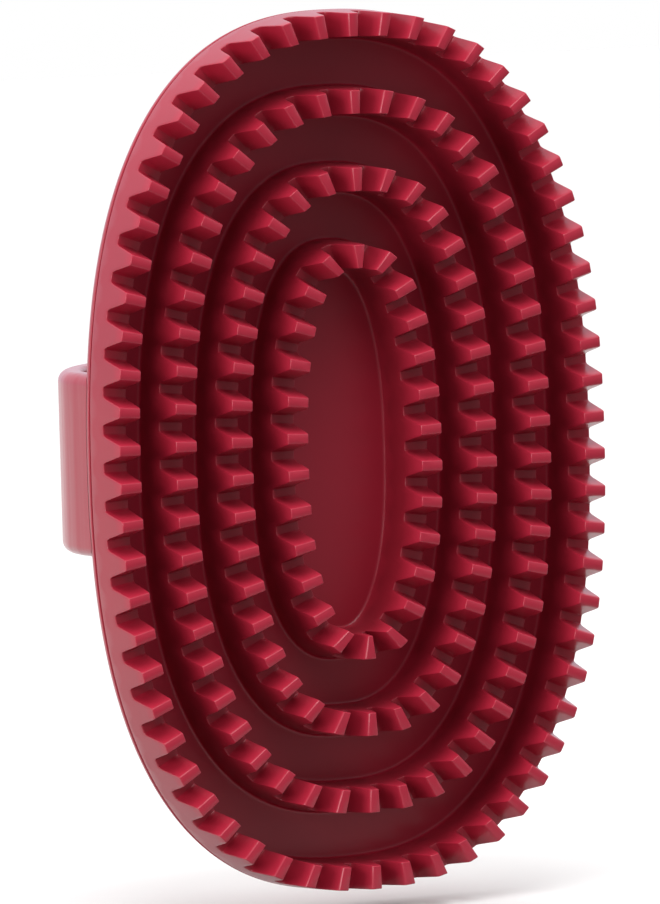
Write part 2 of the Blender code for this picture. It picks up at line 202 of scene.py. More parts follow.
pad = {
    "ribCount": 4,
    "stepAcross": 0.0119,    # from one rib to the next, across the brush
    "stepAlong": 0.0144,     # and along it
    "ribWidth": 0.0044,
    "ribHeight": 0.0130,
    "floor": 0.0024,         # rubber behind the groove floors
    "draft": 0.040,          # how far a wall leans out for its depth
    "toothHeight": 0.0060,
    "toothPitch": 0.0070,
    "tipLength": 0.0020,
    "gulletLength": 0.0020,
    "toothLine": 0.25,       # teeth are evenly spaced this share of the rib inside its edge
    "ovalPower": 2.45,
    "fanPower": 2.0,         # of the rounder oval whose normals the teeth point along
    "seamDepth": 0.0107,
    "edgeRound": 0.00022,    # along the walls' top edges
    "tipRound": 0.00022,     # where a flank meets the tip
    "gulletRound": 0.00028,
    "footRound": 0.00055,    # where a wall meets the groove floor
    "lipRound": 0.00030,     # at the seam
    "floorApron": 0.00030,
    "tipCorner": (-1.0, -0.35, 0.35, 1.0),   # mesh columns round a tip's corner, in its roundings
    "gulletCorner": (-1.0, 0.0, 0.9),        # the same round a gullet's
    "roundSteps": 5,
    "lipSteps": 4,
    "wallShares": (0.25, 0.5, 0.75),   # rows between a wall's two roundings
    "centreShares": (0.75, 0.5, 0.25),
    "backSteps": 4,
    "wornAndLitDepth": 0.0021,               # how far behind the tips the rubber is paler, with wear and with painted light
    "sunkDepths": (0.0020, 0.0075),    # where the painted shade, with a duller finish, between the ribs begins and is full
    "floorDepths": (0.0110, 0.0130),   # where the painted shade begins to fade towards the floors and ends
    "floorLift": 0.80,                 # and by how much
}
sideWall = pad["draft"] * pad["seamDepth"]
halfWidth = (padHigh.x - padLow.x) / 2 - sideWall
halfLength = (padHigh.z - padLow.z) / 2 - sideWall


def ovalLine(width, length, samples=5760):
    # a superellipse: cosine to the power 2/p times the width, and sine to the power 2/p times the length
    turn = np.linspace(0, 2 * np.pi, samples + 1)
    c, s = np.cos(turn), np.sin(turn)
    power = 2 / pad["ovalPower"]
    return np.stack([np.sign(c) * np.abs(c) ** power * width, np.sign(s) * np.abs(s) ** power * length], -1)


def ovalNormal(points, width, length, power):
    # the gradient of |x/width|^p + |z/length|^p, made one long
    x, z = points[..., 0], points[..., 1]
    gradient = np.stack([np.sign(x) * np.abs(x / width) ** (power - 1) / width,
                         np.sign(z) * np.abs(z / length) ** (power - 1) / length], -1)
    return gradient / np.linalg.norm(gradient, axis=-1, keepdims=True)


def ovalTrack(width, length, inset):
    # the oval moved inwards along its normals, with those normals and the way travelled to each point
    edge = ovalLine(width, length)
    normal = ovalNormal(edge, width, length, pad["ovalPower"])
    line = edge - normal * inset
    travelled = np.concatenate([[0], np.cumsum(np.linalg.norm(np.diff(line, axis=0), axis=1))])
    return line, normal, travelled


def ovalStations(width, length, inset, shares):
    # places at shares of the way round the line that lies inset inside the oval; each has a step
    # outwards along the rounder oval's normal, as long as it takes to move the wall by one
    line, normal, travelled = ovalTrack(width, length, inset)
    target = np.asarray(shares) * travelled[-1]
    place = np.stack([np.interp(target, travelled, line[:, axis]) for axis in (0, 1)], -1)
    straight = np.stack([np.interp(target, travelled, normal[:, axis]) for axis in (0, 1)], -1)
    straight /= np.linalg.norm(straight, axis=1, keepdims=True)
    fan = ovalNormal(place, width - inset, length - inset, pad["fanPower"])
    lean = (fan * straight).sum(1, keepdims=True)
    return place + fan * inset / lean, fan / lean


def placeRing(stations, outwardsBy, depth):
    # point plus step times the distance outwards, at a depth behind the tips
    point, step = stations
    outwardsBy = np.broadcast_to(outwardsBy, (len(point),))
    depth = np.broadcast_to(depth, (len(point),))
    spot = point + step * outwardsBy[:, None]
    return np.stack([spot[:, 0], tipY + depth, spot[:, 1]], -1)


def profileRings(stations, profile):
    # a profile of (inset, depth) carried round the oval, inset from the outside of the seam
    return [placeRing(stations, sideWall - inset, depth) for inset, depth in profile]


def softRamp(x, width):
    # 0 before the corner and x after it, with a parabola of that half-width between
    return np.where(x < -width, 0.0, np.where(x > width, x, (x + width) ** 2 / (4 * width)))


def softStep(x, start, end):
    # 0 before start and 1 after end, with 3t^2 - 2t^3 between
    share = np.clip((x - start) / (end - start), 0, 1)
    return share ** 2 * (3 - 2 * share)


def flankEnds(pitch):
    return pad["tipLength"] / 2, (pitch - pad["gulletLength"]) / 2


def toothColumns(pitch):
    # places along one tooth: the gullet's middle, then both flanks' roundings either side of the tip's
    flankStart, flankEnd = flankEnds(pitch)
    right = np.concatenate([flankStart + np.array(pad["tipCorner"]) * pad["tipRound"],
                            flankEnd + np.array(pad["gulletCorner"]) * pad["gulletRound"]])
    return np.concatenate([[-pitch / 2], -right[::-1], [0.0], right])


def toothTop(along, pitch):
    # depth of the rib's top: 0 on the tip, falling evenly down the flank to the gullet, corners eased
    flankStart, flankEnd = flankEnds(pitch)
    slope = pad["toothHeight"] / (flankEnd - flankStart)
    away = np.abs(along)
    return slope * (softRamp(away - flankStart, pad["tipRound"])
                    - softRamp(away - flankEnd, pad["gulletRound"]))


def ribPlaces(number):
    # an even number of teeth, 2 more than a multiple of 4, as near to the pitch as the way round allows
    width = halfWidth - number * pad["stepAcross"]
    length = halfLength - number * pad["stepAlong"]
    inset = pad["ribWidth"] * pad["toothLine"]
    perimeter = ovalTrack(width, length, inset)[2][-1]
    count = 4 * max(1, round((perimeter / pad["toothPitch"] - 2) / 4)) + 2
    pitch = perimeter / count
    along = toothColumns(pitch)
    shares = (((np.arange(count)[:, None] + 0.5) * pitch + along) / perimeter).ravel()
    top = np.tile(toothTop(along, pitch), count)
    return ovalStations(width, length, inset, shares), shares, top, count


def wallSide(top, foot, atSeam):
    # (distance outwards, depth) of each row from the foot up to the top edge, for all columns at once:
    # a quarter round at the foot, a wall whose distance is the draft times its depth, and a quarter
    # round at the edge; the foot turns inwards at the seam, and outwards as a hollow on a floor
    draft, edge = pad["draft"], pad["edgeRound"]
    ones = np.ones_like(top)
    if atSeam:
        soft = pad["lipRound"]
        rows = [((draft * foot - soft + soft * np.sin(turn)) * ones,
                 (foot - soft + soft * np.cos(turn)) * ones) for turn in quarterTurns(pad["lipSteps"])]
    else:
        soft = pad["footRound"]
        rows = [((draft * foot + soft + pad["floorApron"]) * ones, foot * ones)]
        rows += [((draft * foot + soft * (1 - np.sin(turn))) * ones,
                  (foot - soft + soft * np.cos(turn)) * ones) for turn in quarterTurns(pad["roundSteps"])]
    low, high = foot - soft, top + edge
    for share in pad["wallShares"]:
        depth = low + (high - low) * share
        rows.append((draft * depth, depth))
    for turn in quarterTurns(pad["roundSteps"]):
        rows.append((draft * top - edge + edge * np.cos(turn), top + edge - edge * np.sin(turn)))
    return rows


def closeWith(ring, rings, points, quads, triangles, total):
    # a closed ring of indices is joined to new rings, and the last of those to a point in its middle
    columns = len(ring)
    block = np.concatenate(rings)
    firstRing = total + np.arange(columns)
    quads.append(np.stack([ring, np.roll(ring, -1), np.roll(firstRing, -1), firstRing], -1))
    quads.append(gridQuads(len(rings), columns, first=total))
    centre = total + len(block)
    points.append(block)
    points.append(np.array([[0.0, block[-1, 1], 0.0]]))
    triangles.append(fanTriangles(centre - columns + np.arange(columns), centre))
    return centre + 1


def makePad(material):
    # each rib is one skin from its outer foot over the toothed top to its inner foot; the floors join
    # a rib to the next, and behind the seam the pad steps in and fills the plate's hollow
    points, quads, triangles = [], [], []
    total = 0
    floorRing = floorShares = None
    for number in range(pad["ribCount"]):
        stations, shares, top, count = ribPlaces(number)
        atSeam = number == 0
        outerRows = wallSide(top, pad["seamDepth"] if atSeam else pad["ribHeight"], atSeam)
        innerRows = wallSide(top, pad["ribHeight"], False)
        rings = [placeRing(stations, distance, depth) for distance, depth in outerRows]
        rings.append(placeRing(stations, -pad["ribWidth"] / 2, top))
        rings += [placeRing(stations, -pad["ribWidth"] - distance, depth)
                  for distance, depth in innerRows[::-1]]
        columns = len(shares)
        quads.append(gridQuads(len(rings), columns, first=total))
        points.append(np.concatenate(rings))
        firstRing = total + np.arange(columns)
        lastRing = firstRing + (len(rings) - 1) * columns
        total += len(rings) * columns
        if atSeam:
            offset = plate["wall"] + plate["gap"]
            profile = np.concatenate([[[offset, pad["seamDepth"]]], backProfile(offset, pad["backSteps"])])
            total = closeWith(firstRing, profileRings(stations, profile), points, quads, triangles, total)
        else:
            triangles.append(zipTriangles(floorRing, floorShares, firstRing, shares))
        floorRing, floorShares = lastRing, shares
        print("rib", number + 1, "has", count, "teeth")
    # the floor inside the inner rib is its edge drawn in towards the middle
    centreRings = [rings[-1] * [share, 1, share] for share in pad["centreShares"]]
    closeWith(floorRing, centreRings, points, quads, triangles, total)
    points = np.concatenate(points)
    shape = arrayObject("toothedPad", points, np.concatenate(quads), np.concatenate(triangles),
                        sharpDegrees["rubber"], material)
    # the tips' paler colour, part wear and part painted light, and the painted shade between the ribs
    for name, share in zip(("wornAndLit", "sunk"), wearLightAndShadeShares(points)):
        attribute = shape.data.attributes.new(name, "FLOAT", "POINT")
        attribute.data.foreach_set("value", share.astype(np.float32))
    return shape


def wearLightAndShadeShares(points):
    # the tips' paler share falls softly from 1 on the tips to 0 at its depth, part wear and part painted
    # light where the tips catch the most light;
    # sunk, painted shade where the ribs shade the grooves, rises softly down the walls between the ribs,
    # falls back on the floors, and is 0 outside the outer rib's middle line
    depth = points[:, 1] - tipY
    middle = pad["ribWidth"] / 2
    level = (np.abs(points[:, 0] / (halfWidth - middle)) ** pad["ovalPower"]
             + np.abs(points[:, 2] / (halfLength - middle)) ** pad["ovalPower"])
    between = (level < 1) & (depth < pad["ribHeight"] + pad["floor"] / 2)
    wornAndLit = 1 - softStep(depth, 0, pad["wornAndLitDepth"])
    sunk = softStep(depth, *pad["sunkDepths"]) - pad["floorLift"] * softStep(depth, *pad["floorDepths"])
    return wornAndLit, np.where(between, sunk, 0.0)


plate = {
    "wall": 0.0018,
    "gap": 0.0003,                  # between the pad and the plate, and wherever two pieces only touch
    "edgeRadius": 0.0036,           # rounding just behind the seam
    "edgeTurn": math.radians(40),   # how far it turns before the straight bevel
    "backRadius": 0.0034,           # rounding from the bevel to the flat back
    "lipRound": 0.00025,
    "lipSteps": 3,
    "outerSteps": 10,
    "innerSteps": 5,
    "flatShares": (0.25, 0.5, 0.75),
    "columns": 360,
}
thickness = pad["ribHeight"] + pad["floor"] + plate["gap"] + plate["wall"]
backY = tipY + thickness  # the flat back
plateFront = pad["seamDepth"] + plate["gap"]


def outerStations():
    return ovalStations(halfWidth, halfLength, 0.0, np.arange(plate["columns"]) / plate["columns"])


def backProfile(offset, steps):
    # (inset, depth): a rounding behind the seam, a bevel, and a rounding onto the flat back, all moved
    # in by the offset; each rounding is its centre plus its radius times (-cosine, sine) of the turn
    turn = plate["edgeTurn"]
    first = (plate["edgeRadius"], plateFront)
    secondDepth = thickness - plate["backRadius"]
    run = math.sin(turn) * (secondDepth - first[1]) + plate["backRadius"] - plate["edgeRadius"]
    second = (first[0] + run / math.cos(turn), secondDepth)
    rows = []
    for centre, radius, start, end in ((first, plate["edgeRadius"], 0.0, turn),
                                       (second, plate["backRadius"], turn, math.pi / 2)):
        angle = np.linspace(start, end, steps + 1)
        rows.append(np.stack([centre[0] - (radius - offset) * np.cos(angle),
                              centre[1] + (radius - offset) * np.sin(angle)], -1))
    return np.concatenate(rows)


def makePlate(material):
    # one closed skin carried round the oval: the back, outer side, rounded rim, inner side and hollow;
    # the two flats are their edges drawn in towards the middle
    stations = outerStations()
    lip, steps = plate["lipRound"], plate["lipSteps"]
    rim = [arcPoints((lip, plateFront + lip), lip, 180, 270, steps),
           arcPoints((plate["wall"] - lip, plateFront + lip), lip, 270, 360, steps)]
    outer = backProfile(0.0, plate["outerSteps"])[::-1][:-1]
    inner = backProfile(plate["wall"], plate["innerSteps"])[1:]
    sides = profileRings(stations, np.concatenate([outer, *rim, inner]))
    rings = [sides[0] * [share, 1, share] for share in plate["flatShares"]] + sides
    rings += [sides[-1] * [share, 1, share] for share in plate["flatShares"][::-1]]
    ends = np.array([[0.0, rings[0][0, 1], 0.0], [0.0, rings[-1][0, 1], 0.0]])
    shape = cappedSkin("backPlate", rings, sharpDegrees["rubber"], material, ends)
    radius, reach = stud["radius"] + plate["gap"], 2 * plate["wall"]
    bore = [(radius, -reach), (radius, reach)]
    holes = [turnedSolid("cutStudHole", bore, (studX, backY, side * studZ), "Y", holeSides)
             for side in (-1, 1)]
    for hole in holes:
        booleanWith(shape, hole, "DIFFERENCE")
    applyAll(shape, sharpDegrees["rubber"])
    removeTools(holes)
    return shape


lug = {
    "width": 0.0040,
    "gap": 0.0004,           # from the strap's edge
    "edgeRound": 0.00035,
    "edgeSteps": 4,
    "sunk": 0.0009,          # how far the foot runs into the plate
    "flare": 0.0009,         # how far the flanks spread at the plate
    "flareStart": 0.0012,    # below the rod's middle
    "flareLength": 0.0030,
    "eyeSteps": 28,
    "flankSteps": 8,
    "rootSteps": 10,
}


def makeLug(name, side, material):
    # the outline of an eye on straight flanks, carried along the rod: flank face, outer skin, flank face
    # and bore, whose points are the outline's brought in along their spokes to the bore's radius
    hub = np.array([rodX, rodY])
    flatStart = halfWidth + sideWall - plate["edgeRadius"] - plate["backRadius"]
    foot = np.array([flatStart, backY - lug["sunk"]])
    root = np.array([halfWidth + sideWall - plate["edgeRadius"] / 2,
                     tipY + plateFront + plate["edgeRadius"]])
    top = arcPoints(hub, knuckleRadius, 0, 180, lug["eyeSteps"])
    outline = np.concatenate([top, np.linspace(top[-1], foot, lug["flankSteps"])[1:],
                              np.linspace(foot, root, lug["rootSteps"])[1:],
                              np.linspace(root, top[0], lug["flankSteps"])[1:-1]])
    spoke = outline - hub
    direction = spoke / np.linalg.norm(spoke, axis=1, keepdims=True)
    bore = hub + direction * boreRadius
    half = lug["width"] / 2
    centreZ = side * (strapWidth / 2 + lug["gap"] + half)
    # the flanks spread towards the plate with the square of the way there, on the side away from the strap
    below = np.clip((rodY - lug["flareStart"] - outline[:, 1]) / lug["flareLength"], 0, 1)
    flare = lug["flare"] * below ** 2
    eased = easedEdge(lug["edgeRound"], lug["edgeSteps"])
    rows = [(outline - direction * inset, rise - half, 0.0) for inset, rise in eased]
    rows += [(outline - direction * inset, half - rise, 1.0) for inset, rise in eased[::-1]]
    rows += [(bore, half, 0.0), (bore, -half, 0.0)]
    block = [np.stack([line[:, 0], line[:, 1], centreZ + side * (z + flare * spread)], -1)
             for line, z, spread in rows]
    return arrayObject(name, np.concatenate(block), gridQuads(len(rows), len(outline), closeRows=True),
                       material=material)


strap = {
    "thickness": 0.0045,
    "edgeRadius": 0.0021,        # of the outer face
    "innerRadius": 0.0009,       # of the palm side
    "springingDrop": 0.0006,     # how far behind the flat back the half ellipse starts
    "knuckleWall": 0.0018,       # round the rod, outside its bore
    "boreClearance": 0.0002,
    "footGap": 0.00006,          # between the foot and the back plate
    "eyeRound": 0.0004,
    "eyeSteps": 4,
    "eyeSides": 72,
    "steps": 150,                # along the arch
    "cornerSteps": 7,
    "flatSteps": 9,              # across the outer face
}
tab = {
    "thickness": 0.0025,
    "corner": 0.0050,
    "cornerSteps": 12,
    "margin": 0.0045,            # from the last row of holes to the tab's end
    "rowStep": 0.0070,
    "rows": (-1, 0, 1),
    "edgeRound": 0.00045,
    "edgeSteps": 5,
    "holeClearance": 0.0004,
    "holeFlare": 0.0003,
}
strapWidth = strapHigh.z - strapLow.z
halfSpan = -strapLow.x
strapRise = strapHigh.y - (backY - strap["springingDrop"])
tabBottom = backY + plate["gap"]
tabTop = tabBottom + tab["thickness"]


def strapSection():
    # (along the rod, inwards) round the strap: each corner is its centre plus its radius times
    # (cosine, -sine) of a quarter turn, two soft ones on the outer face and two tighter ones inside
    half = strapWidth / 2
    outer, inner, deep = strap["edgeRadius"], strap["innerRadius"], strap["thickness"]
    corners = [(half - outer, outer, outer, 90), (half - inner, deep - inner, inner, 0),
               (inner - half, deep - inner, inner, -90), (outer - half, outer, outer, -180)]
    lines = []
    for z, into, radius, start in corners:
        turn = np.radians(np.linspace(start, start - 90, strap["cornerSteps"] + 1))
        lines.append(np.stack([z + radius * np.cos(turn), into - radius * np.sin(turn)], -1))
    flat = np.linspace(lines[-1][-1], lines[0][0], strap["flatSteps"])[1:-1]
    return np.concatenate([*lines, flat])


def makeArch():
    # a half ellipse, half the span times the cosine across and the rise times the sine back, up to the
    # rod, with the section set along its inward normal, and a straight foot on the left
    springY = backY - strap["springingDrop"]
    hingeTurn = math.asin((rodY - springY) / (strapRise - strap["thickness"] / 2))
    turn = np.linspace(math.pi, hingeTurn, strap["steps"])
    x, rise = halfSpan * np.cos(turn), strapRise * np.sin(turn)
    normal = np.stack([-x / halfSpan ** 2, -rise / strapRise ** 2], -1)
    normal /= np.linalg.norm(normal, axis=1, keepdims=True)
    line = np.concatenate([[[-halfSpan, tipY + plateFront]], np.stack([x, springY + rise], -1)])
    normal = np.concatenate([[[1.0, 0.0]], normal])
    section = strapSection()
    spot = line[:, None] + normal[:, None] * section[:, 1, None]
    along = np.broadcast_to(section[:, 0], spot.shape[:2])
    points = np.stack([spot[..., 0], spot[..., 1], along], -1)
    return cappedSkin("handStrap", points, sharpDegrees["rubber"])


def makeFootCutter():
    # the plate's outer side, moved out by the foot's gap and closed as a solid
    offset = -strap["footGap"]
    front = [offset, pad["seamDepth"] - cutterReach]
    profile = np.concatenate([[front], backProfile(offset, plate["outerSteps"])])
    rings = profileRings(outerStations(), profile)
    ends = np.array([[0.0, rings[0][0, 1], 0.0], [0.0, rings[-1][0, 1], 0.0]])
    return cappedSkin("cutFoot", rings, ends=ends)


def makeTabBody():
    # a tongue with two rounded corners; its rim is a quarter round above and below
    half = strapWidth / 2 - strap["edgeRadius"]
    start = strap["thickness"] / 2 - halfSpan
    end = studX + tab["rows"][-1] * tab["rowStep"] + tab["margin"]
    corner = tab["corner"]

    def outlineAt(inset, y):
        low = arcPoints((end - corner, corner - half), corner - inset, -90, 0, tab["cornerSteps"])
        high = arcPoints((end - corner, half - corner), corner - inset, 0, 90, tab["cornerSteps"])
        line = np.concatenate([[[start, half - inset], [start, inset - half]], low, high])
        return np.stack([line[:, 0], np.full(len(line), y), line[:, 1]], -1)

    eased = easedEdge(tab["edgeRound"], tab["edgeSteps"])
    rings = [outlineAt(inset, tabBottom + rise) for inset, rise in eased]
    rings += [outlineAt(inset, tabTop - rise) for inset, rise in eased[::-1]]
    return cappedSkin("addTab", rings)


def makeStrap(material):
    # the arch, cut to the plate at its foot, with the tab and the eye added, then the bore and six holes
    # cut; a hole is a straight bore that flares at both faces of the tab
    shape = makeArch()
    tools = [booleanWith(shape, makeFootCutter(), "DIFFERENCE"), booleanWith(shape, makeTabBody(), "UNION")]
    half, soft = strapWidth / 2, strap["eyeRound"]
    rounds = arcPoints((knuckleRadius - soft, half - soft), soft, 90, 0, strap["eyeSteps"])
    eye = [*[(radius, -z) for radius, z in rounds], *[(radius, z) for radius, z in rounds[::-1]]]
    hub = (rodX, rodY, 0)
    tools.append(booleanWith(shape, turnedSolid("addEye", eye, hub, "Z", strap["eyeSides"]), "UNION"))
    bore = [(boreRadius, -strapWidth), (boreRadius, strapWidth)]
    tools.append(booleanWith(shape, turnedSolid("cutBore", bore, hub, "Z", holeSides), "DIFFERENCE"))
    radius, flare = stud["radius"] + tab["holeClearance"], tab["holeFlare"]
    hole = [(radius + flare, tabBottom - cutterReach), (radius + flare, tabBottom),
            (radius, tabBottom + flare), (radius, tabTop - flare),
            (radius + flare, tabTop), (radius + flare, tabTop + cutterReach)]
    for row in tab["rows"]:
        for side in (-1, 1):
            place = (studX + row * tab["rowStep"], 0, side * studZ)
            cutter = turnedSolid("cutHole", hole, place, "Y", holeSides)
            tools.append(booleanWith(shape, cutter, "DIFFERENCE"))
    applyAll(shape, sharpDegrees["rubber"])
    removeTools(tools)
    shape.data.materials.clear()
    shape.data.materials.append(material)
    return shape


stud = {
    "setIn": 0.0173,         # from the strap's outside to the studs' middle
    "edge": 0.0090,          # from the strap's edge to a stud's middle
    "radius": 0.0022,
    "stand": 0.0020,         # how far it stands out of the tab
    "footRadius": 0.0040,
    "footThickness": 0.0010,
    "softEdge": 0.00025,
    "domeShare": 0.5,        # height of the dome, as a share of the radius
    "domeTurn": 88,
    "domeSteps": 12,
    "sides": 56,
}
studX = stud["setIn"] - halfSpan
studZ = strapWidth / 2 - stud["edge"]


def makeStud(name, side, material):
    # a turned foot and shank with eased edges, under a dome whose radius goes with the cosine and whose
    # height goes with the sine of the turn
    footBack = backY - plate["wall"] - plate["gap"]
    footFront = footBack - stud["footThickness"]
    top = tabTop + stud["stand"]
    radius, wide, soft = stud["radius"], stud["footRadius"], stud["softEdge"]
    foot = [(wide - soft, footFront), (wide, footFront + soft),
            (wide, footBack - soft), (wide - soft, footBack)]
    shank = [(radius + soft, footBack), (radius, footBack + soft)]
    turn = np.radians(np.linspace(0, stud["domeTurn"], stud["domeSteps"]))
    dome = np.stack([radius * np.cos(turn), top - radius * stud["domeShare"] * (1 - np.sin(turn))], -1)
    return turnedSolid(name, [*foot, *shank, *dome], (studX, 0, side * studZ), "Y", stud["sides"], material)


rod = {
    "radius": 0.0015,
    "headRadius": 0.0024,
    "headThickness": 0.0010,
    "rimShare": 0.35,        # of the head's thickness, straight before the dome
    "domeTurn": 84,
    "domeSteps": 9,
    "sides": 56,
}
rodX = (rodLow.x + rodHigh.x) / 2
rodY = (rodLow.y + rodHigh.y) / 2
boreRadius = rod["radius"] + strap["boreClearance"]
knuckleRadius = boreRadius + strap["knuckleWall"]


def makeRod(material):
    # a straight turned wire with a head on each end: a rim, then a dome whose radius goes with the
    # cosine and whose height goes with the sine of the turn
    headStart = strapWidth / 2 + lug["gap"] + lug["width"] + plate["gap"]
    high, wide, rim = rod["headThickness"], rod["headRadius"], rod["rimShare"]
    turn = np.radians(np.linspace(0, rod["domeTurn"], rod["domeSteps"]))
    dome = np.stack([wide * np.cos(turn), headStart + high * rim + high * (1 - rim) * np.sin(turn)], -1)
    upper = [(rod["radius"], headStart), (wide, headStart), *dome]
    profile = [(radius, -height) for radius, height in upper[::-1]] + upper
    return turnedSolid("strapRod", profile, (rodX, rodY, 0), "Z", rod["sides"], material)


class Sum:
    # wraps a shader socket, so that node arithmetic reads as plain sums
    def __init__(self, tree, socket):
        self.tree, self.socket = tree, socket

    def node(self, kind, settings=None, inputs=None, output=0):
        made = self.tree.nodes.new(kind)
        for key, value in (settings or {}).items():
            if key == "stops":
                for element, (place, colour) in zip(made.color_ramp.elements, value):
                    element.position = place
                    element.color = colour
            else:
                setattr(made, key, value)
        for key, value in (inputs or {}).items():
            if isinstance(value, Sum):
                self.tree.links.new(value.socket, made.inputs[key])
            else:
                made.inputs[key].default_value = value
        return Sum(self.tree, made.outputs[output])

    def maths(self, operation, first, second):
        return self.node("ShaderNodeMath", {"operation": operation}, {0: first, 1: second})

    def __add__(self, other):
        return self.maths("ADD", self, other)

    __radd__ = __add__

    def __mul__(self, other):
        return self.maths("MULTIPLY", self, other)

    __rmul__ = __mul__

    def __sub__(self, other):
        return self.maths("SUBTRACT", self, other)

    def __rsub__(self, other):
        return self.maths("SUBTRACT", other, self)


def newMaterial(name):
    material = bpy.data.materials.new(name)
    material.use_nodes = True
    start = Sum(material.node_tree, None)
    place = start.node("ShaderNodeTexCoord", output="Object")
    return material, material.node_tree.nodes["Principled BSDF"], start, place


def noise(start, place, scale, detail=3.0, roughness=0.5, stretch=None):
    if stretch is not None:
        place = start.node("ShaderNodeMapping", None, {"Vector": place, "Scale": stretch})
    return start.node("ShaderNodeTexNoise", None,
                      {"Vector": place, "Scale": scale, "Detail": detail, "Roughness": roughness})


def spread(start, value, low, high):
    # black up to low, white from high, and straight between
    stops = [(low, (0, 0, 0, 1)), (high, (1, 1, 1, 1))]
    return start.node("ShaderNodeValToRGB", {"stops": stops}, {"Fac": value})


def mixColours(start, factor, first, second):
    return start.node("ShaderNodeMix", {"data_type": "RGBA"}, {0: factor, 6: first, 7: second}, 2)


def finishWith(shader, start, colour, roughness, height, strength):
    # height is in metres, and feeds a bump
    bump = start.node("ShaderNodeBump", None, {"Strength": strength, "Distance": 1.0, "Height": height})
    for name, value in (("Base Color", colour), ("Roughness", roughness), ("Normal", bump)):
        start.tree.links.new(value.socket, shader.inputs[name])


rubber = {
    "colour": (0.410, 0.0165, 0.0400, 1),
    "deeper": (0.375, 0.0135, 0.0340, 1),
    "paler": (0.445, 0.0230, 0.0490, 1),
    "wornAndLit": (0.500, 0.0240, 0.0540, 1),      # on the tooth tips: wear, and painted light where the tips catch the most light
    "paintedShade": (0.260, 0.0080, 0.0210, 1),    # painted shade, low between the ribs
    "clouds": (38.0, 4.0),                   # scale and detail of the noises
    "blotches": (160.0, 3.0),
    "skin": (700.0, 1.0),
    "cloudSpread": (0.32, 0.68),
    "flowDetail": (2.0, 0.4),                # detail and roughness of the noise
    "flowSpread": (0.45, 0.75),
    "flowTint": 0.35,
    "wornAndLitShare": (0.60, 0.6),                # plain, and times the blotches
    "paintedShadeShare": (0.75, 0.5),
    "roughness": 0.315,                      # renders with it below about 0.27 had small dark marks
    "roughnessSpread": 0.07,                 # times the blotches
    "flowRoughness": 0.03,
    "sunkenRoughness": 0.12,
    "skinBump": 0.000008,                    # metres
    "blotchBump": 0.00004,
    "bumpStrength": 0.6,
    "coatRoughness": 0.12,
    "ior": 1.48,
}
rubberKinds = {  # the flow lines of the moulding on each piece, and the gloss over them
    "padRubber": {"flowScale": 24.0, "flowStretch": (1.0, 1.0, 0.35), "flowBump": 0.00003, "coat": 0.06},
    "plateRubber": {"flowScale": 40.0, "flowStretch": (1.0, 1.0, 0.35), "flowBump": 0.00006, "coat": 0.06},
    "strapRubber": {"flowScale": 210.0, "flowStretch": (1.0, 1.0, 0.05), "flowBump": 0.00060, "coat": 0.38},
}


def makeRubber(name):
    # moulded rubber: soft clouds of colour, flow lines of the moulding and a fine skin; the pad's
    # attributes say where it is paler (the tips: wear, and painted light) and where shade is painted
    # darker, with a duller finish (low between the ribs)
    kind = rubberKinds[name]
    material, shader, start, place = newMaterial(name)
    clouds, blotch, skin = (noise(start, place, *rubber[key]) for key in ("clouds", "blotches", "skin"))
    flowLines = noise(start, place, kind["flowScale"], *rubber["flowDetail"], kind["flowStretch"])
    sunk, wornAndLit = (start.node("ShaderNodeAttribute", {"attribute_name": key}, None, 2)
                  for key in ("sunk", "wornAndLit"))
    wornAndLitPlain, wornAndLitBlotch = rubber["wornAndLitShare"]
    sunkPlain, sunkBlotch = rubber["paintedShadeShare"]
    cloudShare = spread(start, clouds, *rubber["cloudSpread"])
    base = mixColours(start, cloudShare, rubber["deeper"], rubber["colour"])
    flowTint = spread(start, flowLines, *rubber["flowSpread"]) * rubber["flowTint"]
    outside = mixColours(start, flowTint, base, rubber["paler"])
    # painted shade: darker low between the ribs, where the ribs shade the grooves
    shaded = mixColours(start, sunk * (sunkPlain + sunkBlotch * blotch), outside, rubber["paintedShade"])
    # paler on the tooth tips: wear, and painted light where the tips catch the most light
    colour = mixColours(start, wornAndLit * (wornAndLitPlain + wornAndLitBlotch * blotch), shaded, rubber["wornAndLit"])
    roughness = (rubber["roughness"] + (blotch - 0.5) * rubber["roughnessSpread"]
                 + (flowLines - 0.5) * rubber["flowRoughness"] + sunk * rubber["sunkenRoughness"])
    height = skin * rubber["skinBump"] + flowLines * kind["flowBump"] + blotch * rubber["blotchBump"]
    finishWith(shader, start, colour, roughness, height, rubber["bumpStrength"])
    shader.inputs["IOR"].default_value = rubber["ior"]
    shader.inputs["Coat Weight"].default_value = kind["coat"]
    shader.inputs["Coat Roughness"].default_value = rubber["coatRoughness"]
    return material


studFinish = {
    "deeper": (0.34, 0.014, 0.034, 1),
    "paler": (0.44, 0.022, 0.048, 1),
    "cloudScale": 420.0,
    "roughness": (0.27, 0.14),   # plain, and times the clouds
    "grainScale": 1800.0,
    "grainBump": 0.00002,
    "bumpStrength": 0.4,
}


def makeStudPlastic():
    # moulded plastic: soft clouds and a fine grain
    material, shader, start, place = newMaterial("studPlastic")
    clouds = noise(start, place, studFinish["cloudScale"])
    colour = mixColours(start, clouds, studFinish["deeper"], studFinish["paler"])
    plain, clouded = studFinish["roughness"]
    height = noise(start, place, studFinish["grainScale"]) * studFinish["grainBump"]
    finishWith(shader, start, colour, plain + clouds * clouded, height, studFinish["bumpStrength"])
    return material


rodFinish = {
    "darker": (0.44, 0.44, 0.46, 1),
    "lighter": (0.66, 0.66, 0.67, 1),
    "lineScale": 900.0,
    "lineDetail": (4.0, 0.6),    # detail and roughness of the noise
    "lineStretch": (1.0, 1.0, 0.02),
    "roughness": (0.18, 0.2),    # plain, and times the lines
    "lineBump": 0.00002,
    "bumpStrength": 0.5,
}


